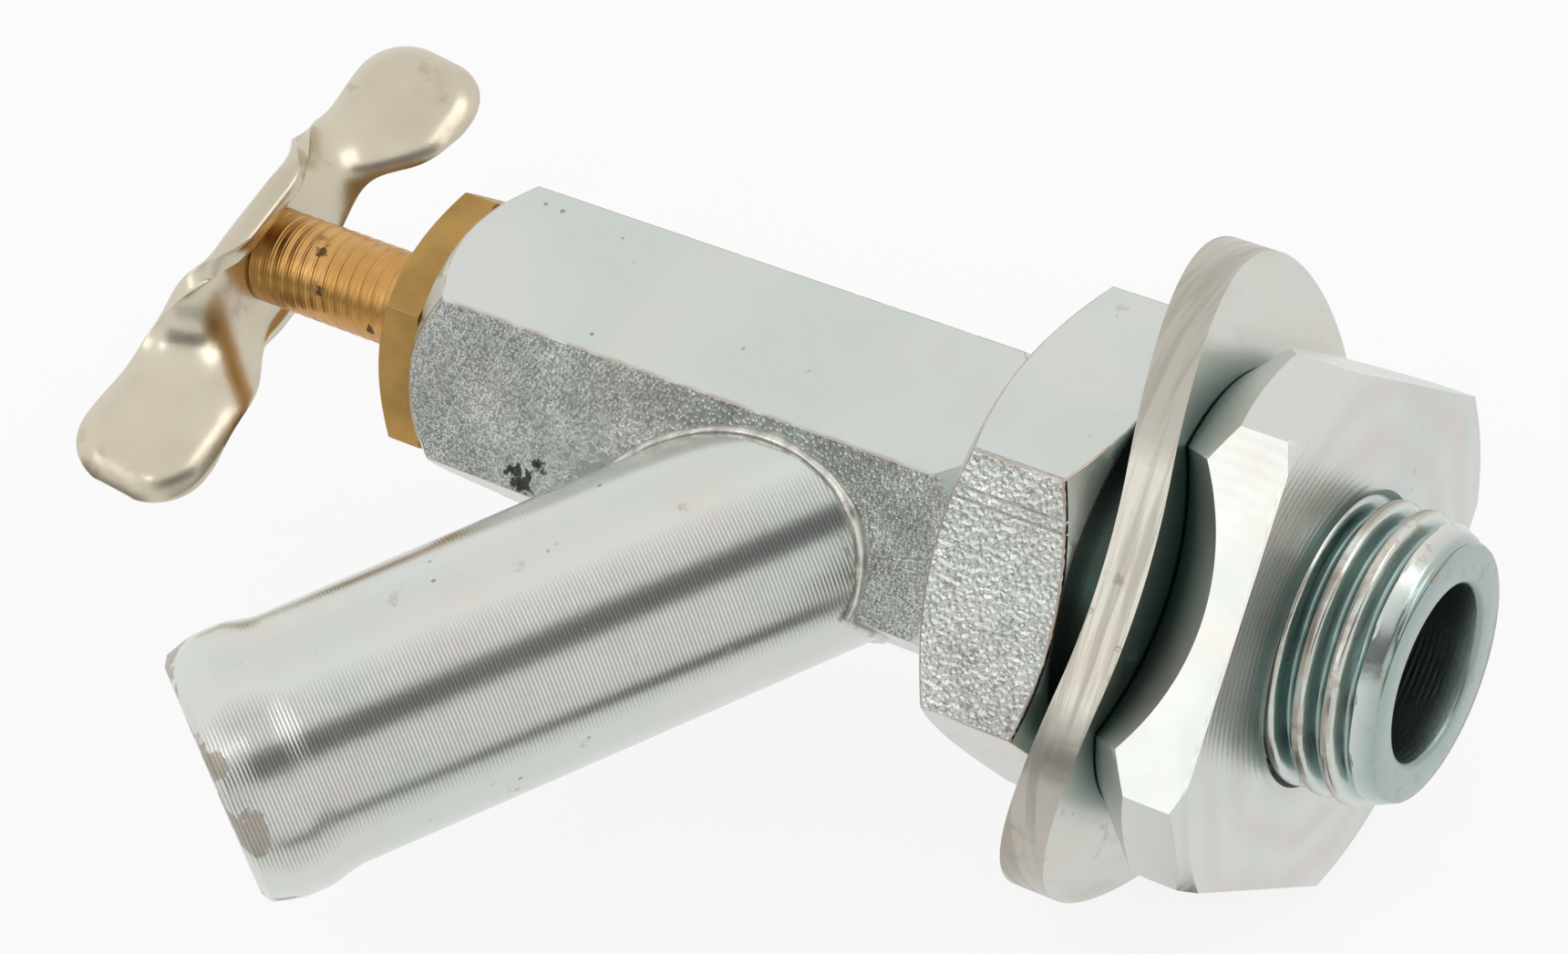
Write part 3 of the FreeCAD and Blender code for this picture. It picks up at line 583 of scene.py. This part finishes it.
# outlet tube, coped onto the bar, with a low bead at its mouth
t = outletTube
profile = [(0, t["bore"]), (0, t["radius"])]
for x in stations(*t["rise"], t["step"]):
    profile.append((x, t["radius"] + t["bead"] * ease((x - t["rise"][0]) / t["riseLength"])))
for x in stations(*t["fall"], t["step"]):
    profile.append((x, t["radius"] + t["bead"] - t["fallDepth"] * ease((x - t["fall"][0]) / t["fallLength"])))
tube = lathe("outletTube", profile + t["mouth"], t["sides"])
pointAlong(tube, tubeAxis, (t["cross"], 0, 0))
coat(tube, "tube", "edge")
carve(tube, bodyBlank("tubeCope", bodyBar["start"], bodyBar["end"]))
shadeSmooth(tube)
fit(tube, "outlet_tube")

# bead of solder along the line where the tube meets the bar
solder = {"bead": 0.45, "rings": 180, "sides": 14, "unit": 0.1, "waver": 0.06, "waves": ((7, 1, 1.0), (17, 2, 0.6))}


def footOf(direction):
    # how far along its axis the tube's surface leaves the bar, on one side of the tube
    start = Vector((t["cross"], 0, 0)) + direction * t["radius"]
    reach = []
    for side in (150, 210):
        flat = Vector((0, math.cos(math.radians(side)), math.sin(math.radians(side))))
        reach.append((bodyBar["flats"] / 2 - flat.dot(start)) / flat.dot(Vector(tubeAxis)))
    return min(reach)


bpy.ops.object.select_all(action="DESELECT")
bpy.ops.mesh.primitive_torus_add(major_segments=solder["rings"], minor_segments=solder["sides"], major_radius=1,
                                 minor_radius=solder["unit"])
bead = bpy.context.object
bead.name = bead.data.name = "solderBead"
side = Vector((0, 0, 1))
aside = Vector(tubeAxis).cross(side)
for vertex in bead.data.vertices:
    angle = math.atan2(vertex.co.y, vertex.co.x)
    out = (math.hypot(vertex.co.x, vertex.co.y) - 1) / solder["unit"]
    up = vertex.co.z / solder["unit"]
    waver = sum(share * math.sin(angle * count + shift) for count, shift, share in solder["waves"])
    size = solder["bead"] + solder["waver"] * waver
    direction = side * math.cos(angle) + aside * math.sin(angle)
    place = Vector((t["cross"], 0, 0)) + direction * (t["radius"] + out * size)
    vertex.co = (place + Vector(tubeAxis) * (footOf(direction) + up * size)) * mm
turnNormalsOut(bead)
coat(bead, "braze")
shadeSmooth(bead, 60, False)
fit(bead, "braze_fillet")
print("tube and solder made")

# inlet nipple: turned spigot with a thread, and its hexagon collar
nipple = {
    "crest": 8.73, "bore": 5.35, "shank": 6.5, "sides": 160,
    "back": [(-28.3, 3.75), (-28.3, 4.65), (-27.5, 4.65), (-27.5, 6.5), (-19.6, 6.5), (-19.6, 9.3), (-10.75, 9.3)],
    "threaded": (-10.74, 6.1), "threadStep": 0.12, "tipBevel": 3.9, "tipSlope": 0.457, "underNut": 8.12,
    "underNutRun": (-7.9, -0.9), "tip": [(6.15, 7.6), (6.15, 5.75), (6.1, 5.55), (5.98, 5.42), (5.8, 5.35)],
    "bored": (4.5, -13.85), "boreStep": 1.5, "seat": (-16.85, 3.75),
    "collar": {"flats": 27.1, "start": -20.0, "end": -11.5, "corner": -6.3, "edge": 0.2},
}
n = nipple


def threadLimit(x):
    # turned down to pass through the nut, and bevelled over the last turn at the tip
    tip = n["crest"] - max(x - n["tipBevel"], 0.0) * n["tipSlope"]
    underNut = n["underNut"] if n["underNutRun"][0] < x < n["underNutRun"][1] else n["crest"]
    return min(tip, underNut)


n["thread"] = {"start": -10.7, "end": 6.1, "radius": n["crest"], "depth": 1.08, "pitch": 1.814, "crestWidth": 1.5,
               "rootWidth": 0.16, "runIn": 0.1, "runOut": 0.1, "limit": threadLimit}
profile = n["back"] + [(x, n["crest"]) for x in stations(*n["threaded"], n["threadStep"])]
profile += n["tip"] + [(x, n["bore"]) for x in stations(*n["bored"], n["boreStep"])] + [n["seat"]]
spigot = lathe("threadedSpigot", profile, n["sides"])
cutThread(spigot, n["thread"])
coat(spigot, "thread")
shadeSmooth(spigot, 50, False)
fit(spigot, "inlet_nipple")


def bevelledBar(name, size, edgeStart, edgeEnd, inset=0.15, slope=30):
    # a hexagon bar with its corners turned down at a slope at one or both ends, the face a little inside the flats
    made = bar(name, 6, size["flats"], size["start"], size["end"], size["corner"])
    flat = size["flats"] / 2
    corner = flat / math.cos(math.pi / 6) + 0.01
    drop = (corner - flat + inset) * math.tan(math.radians(slope))
    lower = (size["start"], flat - inset if edgeStart else corner)
    upper = (size["end"], flat - inset if edgeEnd else corner)
    outline = [(lower[0], 0), lower, (lower[0] + drop, corner), (upper[0] - drop, corner), upper, (upper[0], 0)]
    carve(made, lathe(name + "Outline", outline, 180), "INTERSECT")
    return made


collar = bevelledBar("hexagonCollar", n["collar"], True, True)
coat(collar, "collar", "edge")
softenEdges(collar, n["collar"]["edge"])
carve(collar, rod("collarBore", n["shank"] + 0.5, n["collar"]["start"] - 1, n["collar"]["end"] + 0.5, 96))
shadeSmooth(collar)
fit(collar, "inlet_nipple")
print("inlet nipple made")

# square lock nut and the bowed washer behind it
lockNut = {
    "flats": 30.35, "cornerFlats": 36.557, "corner": -4.4, "back": -9.9, "face": -0.1, "edge": 0.2,
    "outline": [(-9.9, 0), (-9.9, 12.5), (-3.6, 18.56), (-0.7, 18.56), (-0.1, 17.6), (-0.1, 0)],
    "bore": [(-12, 0), (-12, 8.2), (-0.9, 8.2), (-0.1, 9.0), (1, 9.0), (1, 0)],
    "seatRadius": 52.1, "scallop": 18.5, "scallopAt": 9.7, "slope": 40.04,
}
washer = {"front": -6.9, "bow": 52.0, "thick": 2.7, "width": 27.0, "length": 40.0, "hole": 9.03, "edge": 0.4,
          "turn": 40.6}
washerTurn = math.radians(washer["turn"])
alongWasher = Vector((0, math.cos(washerTurn), math.sin(washerTurn)))
towardsFlat = Vector((0, -math.sin(washerTurn), math.cos(washerTurn)))


def bowRoll(name, radius):
    # a large roll that gives the bow of the washer and of the nut's seat
    made = rod(name, radius, -40, 40, 360)
    pointAlong(made, towardsFlat, (washer["front"] - washer["bow"], 0, 0))
    return made


nut = bar("lockNut", 4, lockNut["flats"], lockNut["back"], lockNut["face"], lockNut["corner"])
coat(nut, "nut", "edge")
carve(nut, bar("nutCorners", 4, lockNut["cornerFlats"], -12, 2, lockNut["corner"] + 45), "INTERSECT")
carve(nut, lathe("nutOutline", lockNut["outline"], 180), "INTERSECT")
carve(nut, bowRoll("nutSeat", lockNut["seatRadius"]))
slope = math.radians(lockNut["slope"])
for away in (towardsFlat, -towardsFlat):
    line = away * math.cos(slope) + Vector((math.sin(slope), 0, 0))
    lift = away * math.sin(slope) - Vector((math.cos(slope), 0, 0))
    start = away * lockNut["scallopAt"] + Vector((washer["front"], 0, 0)) + lift * lockNut["scallop"]
    cutter = rod("nutScallop", lockNut["scallop"], -8, 24, 240)
    pointAlong(cutter, line, start)
    carve(nut, cutter)
softenEdges(nut, lockNut["edge"])
carve(nut, lathe("nutBore", lockNut["bore"], 144))
shadeSmooth(nut)
fit(nut, "lock_nut")

plate = rod("saddleWasher", washer["width"] / 2, -20, 0, 160)
for vertex in plate.data.vertices:
    way = vertex.co.dot(alongWasher)
    vertex.co += alongWasher * math.copysign((washer["length"] - washer["width"]) / 2 * mm, way)
coat(plate, "washer", "edge", "sheared")
carve(plate, bowRoll("washerFront", washer["bow"]), "INTERSECT")
carve(plate, bowRoll("washerBack", washer["bow"] - washer["thick"]))
for polygon in plate.data.polygons:
    across = abs(polygon.normal.dot(towardsFlat)) + abs(polygon.normal.dot(alongWasher))
    if abs(polygon.normal.x) < 0.3 and across > 0.95:
        polygon.material_index = 2  # the sheared edge, its own warmer tone darkened further by painted shade
softenEdges(plate, washer["edge"], 40, 3)
carve(plate, rod("washerHole", washer["hole"], -21, 1, 120))
shadeSmooth(plate, 35)
fit(plate, "saddle_washer")
print("nut and washer made")

# brass gland nut
gland = {"flats": 16.1, "start": -63.4, "end": -60.2, "corner": 9.0, "edge": 0.16, "shank": 5.55, "shankEnd": -53.6,
         "bore": 3.2}
head = bevelledBar("glandNut", gland, True, False)
coat(head, "gland")
softenEdges(head, gland["edge"])
carve(head, rod("glandShank", gland["shank"], gland["end"] - 0.5, gland["shankEnd"], 96), "UNION")
carve(head, rod("glandBore", gland["bore"], gland["start"] - 1, gland["shankEnd"] + 1, 96))
shadeSmooth(head)
fit(head, "gland_nut")

# spindle, with a fine thread and the riveted end behind the handle
spindle = {
    "stem": 2.5, "button": 3.0, "buttonThick": 1.2, "radius": 3.15, "sides": 72, "threaded": (-77.75, -59.8),
    "threadStep": 0.08, "neck": [(-59.6, 3.15), (-59.0, 2.5)],
    "rivet": [(-80.1, 0), (-80.1, 1.98), (-79.95, 2.6), (-79.6, 3.25), (-79.2, 3.3), (-79.1, 3.2), (-79.1, 2.1),
              (-77.9, 2.1), (-77.9, 3.0)],
    "thread": {"start": -77.7, "end": -59.8, "radius": 3.15, "depth": 0.06, "pitch": 0.977, "crestWidth": 1.7,
               "rootWidth": 0.2, "runIn": 0.6, "runOut": 0.6},
}
s = spindle
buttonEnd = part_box("spindle")[1].x / mm
buttonStart = buttonEnd - s["buttonThick"]
profile = s["rivet"] + [(x, s["radius"]) for x in stations(*s["threaded"], s["threadStep"])]
profile += s["neck"] + [(buttonStart, s["stem"]), (buttonStart, s["button"]), (buttonEnd, s["button"]), (buttonEnd, 0)]
stem = lathe("threadedSpindle", profile, s["sides"])
cutThread(stem, s["thread"])
coat(stem, "spindle")
shadeSmooth(stem, 50, False)
fit(stem, "spindle", "stem")
print("gland and spindle made")

# pressed handle: a strip bent to a channel at the spindle and twisted into two wings
handle = {
    "sheet": 1.2, "turn": 5.0, "halfSpan": 18.95, "floor": -77.9, "rows": 150, "columns": 48, "crowding": 1.54,
    "channelHalf": 4.0, "web": 3.45, "bend": 1.2, "flange": 1.1, "foldEnd": 10.8, "upperWaist": 8.4,
    "lowerWaist": 10.2, "lowerLoss": 1.3, "notch": 3.2, "notchAt": 8.1, "notchHalf": 4.0,
    "wing": 4.2, "wingStart": 11.5, "corner": 3.2, "nearExtra": 0.4, "twist": 76.0, "shift": 0.75, "drop": 0.55,
    "rim": 1.7, "rimDrop": 1.1, "waistFrom": (2.6, 3), "waistTo": (15, 4), "waistSmoothing": 90, "smoothing": 5,
    "edgeSmoothing": 4,
}
h = handle
bendLength = h["bend"] * math.pi / 2


def blendTo(end, reach):
    return ease((reach - h["channelHalf"]) / (h[end] - h["channelHalf"]))


def wingHalf(along, lower):
    return h["wing"] + (h["nearExtra"] if lower and along < 0 else 0.0)


def stripHalf(along, lower):
    reach = abs(along)
    channel = h["web"] + bendLength + h["flange"]
    intoCorner = min(max(reach - h["halfSpan"] + h["corner"], 0.0), h["corner"])
    wing = wingHalf(along, lower) - h["corner"] + math.sqrt(h["corner"] ** 2 - intoCorner ** 2)
    if not lower:
        return channel + (wing - channel) * blendTo("upperWaist", reach)
    channel -= h["lowerLoss"]
    notch = h["notch"] * max(1 - ((along - h["notchAt"]) / h["notchHalf"]) ** 2, 0.0) ** 2
    return channel + (wing - channel) * blendTo("lowerWaist", reach) - notch


def rimFall(along, aside):
    corner = h["corner"]
    pastEnd = abs(along) - h["halfSpan"] + corner
    half = stripHalf(along, aside < 0) if pastEnd < 0 else wingHalf(along, aside < 0)
    pastSide = abs(aside) - half + corner
    inside = corner - (math.hypot(pastEnd, pastSide) if pastEnd > 0 and pastSide > 0 else max(pastEnd, pastSide))
    return h["rimDrop"] * (1 - min(max(inside, 0.0) / h["rim"], 1.0)) ** 2


def stripPoint(along, aside):
    # where a point of the flat blank lies once the sheet is bent and twisted
    reach = abs(along)
    share = blendTo("wingStart", reach)
    fold = max(math.pi / 2 * (1 - blendTo("foldEnd", reach)), 1e-4)
    width = abs(aside)
    bent = min(max(width - h["web"], 0.0) / bendLength, 1.0) * fold
    beyond = max(width - h["web"] - bendLength, 0.0)
    across = min(width, h["web"]) + bendLength / fold * math.sin(bent) + beyond * math.cos(fold)
    lift = bendLength / fold * (1 - math.cos(bent)) + beyond * math.sin(fold)
    lift -= share ** 3 * rimFall(along, aside)
    across = math.copysign(across, aside)
    twist = math.radians(h["twist"]) * share
    x = h["floor"] - h["sheet"] / 2 + h["shift"] * share + lift * math.cos(twist) - across * math.sin(twist)
    z = lift * math.sin(twist) + across * math.cos(twist) - h["drop"] * share
    return Vector((x, along, z))


bpy.ops.object.select_all(action="DESELECT")
bpy.ops.mesh.primitive_grid_add(x_subdivisions=h["rows"], y_subdivisions=h["columns"], size=2)
sheet = bpy.context.object
sheet.name = sheet.data.name = "pressedHandle"
tilt = Matrix.Rotation(math.radians(h["turn"]), 3, "X")
waist = sheet.vertex_groups.new(name="waist")
for vertex in sheet.data.vertices:
    along = h["halfSpan"] * math.sin(h["crowding"] * vertex.co.x) / math.sin(h["crowding"])
    nearEnd = ease((abs(along) - h["waistFrom"][0]) / h["waistFrom"][1])
    farEnd = ease((h["waistTo"][0] - abs(along)) / h["waistTo"][1])
    waist.add([vertex.index], nearEnd * farEnd, "REPLACE")
    vertex.co = tilt @ stripPoint(along, vertex.co.y * stripHalf(along, vertex.co.y < 0)) * mm
applyModifier(sheet, "SMOOTH", factor=0.5, iterations=h["waistSmoothing"], vertex_group="waist")
applyModifier(sheet, "SMOOTH", factor=0.5, iterations=h["smoothing"])
applyModifier(sheet, "SOLIDIFY", thickness=h["sheet"] * mm, offset=0.0, use_even_offset=False)
turnNormalsOut(sheet)
applyModifier(sheet, "SMOOTH", factor=0.5, iterations=h["edgeSmoothing"])
coat(sheet, "handle")
shadeSmooth(sheet, 60, False)
fit(sheet, "handle", "stem")
print("handle made")

# pieces inside the body keep their solids and get plain finishes
for node, name in (("gland_packing", "packing"), ("packing_washer", "inner"), ("valve_jumper", "inner"),
                   ("seat_washer", "rubber"), ("washer_screw", "inner")):
    coat(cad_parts[node], name)
print("inner pieces coated")

# studio: pale floor, white surroundings, soft lamps and grey cards that only reflections show
studio = {
    "camera": (91.53, -140.35, 202.09), "lens": 36 * 5000 / 1720,
    "right": (0.83171362, 0.52968016, -0.16640728),
    "up": (-0.30478925, 0.68611379, 0.66056899),
    "back": (0.46406461, -0.49868508, 0.732091),
    "floorDrop": 0.3, "floorSize": 8.0, "floorWhite": 0.85, "worldLight": 0.72, "aim": (-0.04, -0.01, 0.0),
}
bpy.ops.object.select_all(action="DESELECT")
bpy.ops.mesh.primitive_plane_add(size=studio["floorSize"], location=(0, 0, cadBox[0][2] - studio["floorDrop"] * mm))
floor = bpy.context.object
floor.name = "studioFloor"
paper = Graph(bpy.data.materials.new("white paper"))
paperShade = paper.mix(paper.noise(3, 2) * 0.3, rgb(0.94, 0.94, 0.94), rgb(0.91, 0.91, 0.91))
shaded = paper.node("BsdfPrincipled", inputs={"Base Color": paperShade, "Roughness": 0.9})
lit = paper.node("Emission", inputs={"Color": rgb(1, 1, 1), "Strength": 1.0})
mixed = paper.node("MixShader", inputs={0: paper.seenDirectly() * studio["floorWhite"], 1: shaded, 2: lit})
paper.node("OutputMaterial", inputs={0: mixed})
floor.data.materials.append(paper.owner)


def faceAim(piece, direction, distance, level, aim=studio["aim"]):
    # places a lamp or card out from the object, facing it, with its width along the level direction
    outward = Vector(direction).normalized()
    piece.location = Vector(aim) + outward * distance
    width = Vector(level)
    width = (width - outward * outward.dot(width)).normalized()
    piece.rotation_mode = "QUATERNION"
    piece.rotation_quaternion = Matrix((width, outward.cross(width), outward)).transposed().to_quaternion()


def lamp(name, direction, distance, size, power):
    data = bpy.data.lights.new(name, "AREA")
    data.shape = "SQUARE"
    data.size = size
    data.energy = power
    light = bpy.data.objects.new(name, data)
    bpy.context.scene.collection.objects.link(light)
    faceAim(light, direction, distance, Vector(direction).cross((0, 0, 1)))


def card(name, direction, distance, width, height, shade, level=(0, 0, 0), aim=studio["aim"]):
    bpy.ops.object.select_all(action="DESELECT")
    bpy.ops.mesh.primitive_plane_add(size=1)
    made = bpy.context.object
    made.name = name
    made.scale = (width, height, 1)
    faceAim(made, direction, distance, level if any(level) else Vector(direction).cross((0, 0, 1)), aim)
    made.visible_camera = False
    made.visible_shadow = False
    made.visible_diffuse = False
    look = Graph(bpy.data.materials.new(name + " grey"))
    grey = look.node("Emission", inputs={"Color": rgb(shade, shade, shade), "Strength": 1.0})
    look.node("OutputMaterial", inputs={0: grey})
    made.data.materials.append(look.owner)


lamp("softBox", (-0.46, -0.65, 0.6), distance=0.8, size=0.26, power=0.26)
lamp("overhead", (0.6, 0.5, 0.62), distance=0.9, size=0.5, power=1.0)
lamp("sparkLamp", (0.05, -0.55, 0.83), distance=0.7, size=0.05, power=0.1)
card("frontCard", (-0.42, -0.9, 0.02), distance=0.7, width=0.9, height=0.34, shade=0.1)
card("backCard", (-0.464, 0.5, 0.73), distance=1.2, width=0.9, height=0.9, shade=0.95)
# two dark lines along the tube
card("streakCard", (0.67, -0.288, 0.684), distance=0.7, width=1.0, height=0.3, shade=0.16, level=tubeAxis)
card("lowCard", (0.8, -0.37, -0.48), distance=0.039, width=0.085, height=0.009, shade=0.12, level=tubeAxis,
     aim=(-0.0457, -0.0373, 0.0013))

world = bpy.data.worlds.new("studio")
bpy.context.scene.world = world
sky = Graph(world)
strength = sky.seenDirectly() * (1 - studio["worldLight"]) + studio["worldLight"]
backdrop = sky.node("Background", inputs={"Color": rgb(1, 1, 1), "Strength": strength})
sky.node("OutputWorld", inputs={0: backdrop})

cameraData = bpy.data.cameras.new("camera")
cameraData.sensor_width = 36
cameraData.lens = studio["lens"]
cameraData.clip_start = 0.01
camera = bpy.data.objects.new("camera", cameraData)
bpy.context.scene.collection.objects.link(camera)
axes = Matrix((studio["right"], studio["up"], studio["back"])).transposed().to_4x4()
camera.matrix_world = Matrix.Translation(Vector(studio["camera"]) * mm) @ axes
bpy.context.scene.camera = camera
bpy.context.scene.view_settings.view_transform = "Standard"
print("studio made")

bpy.context.view_layer.update()
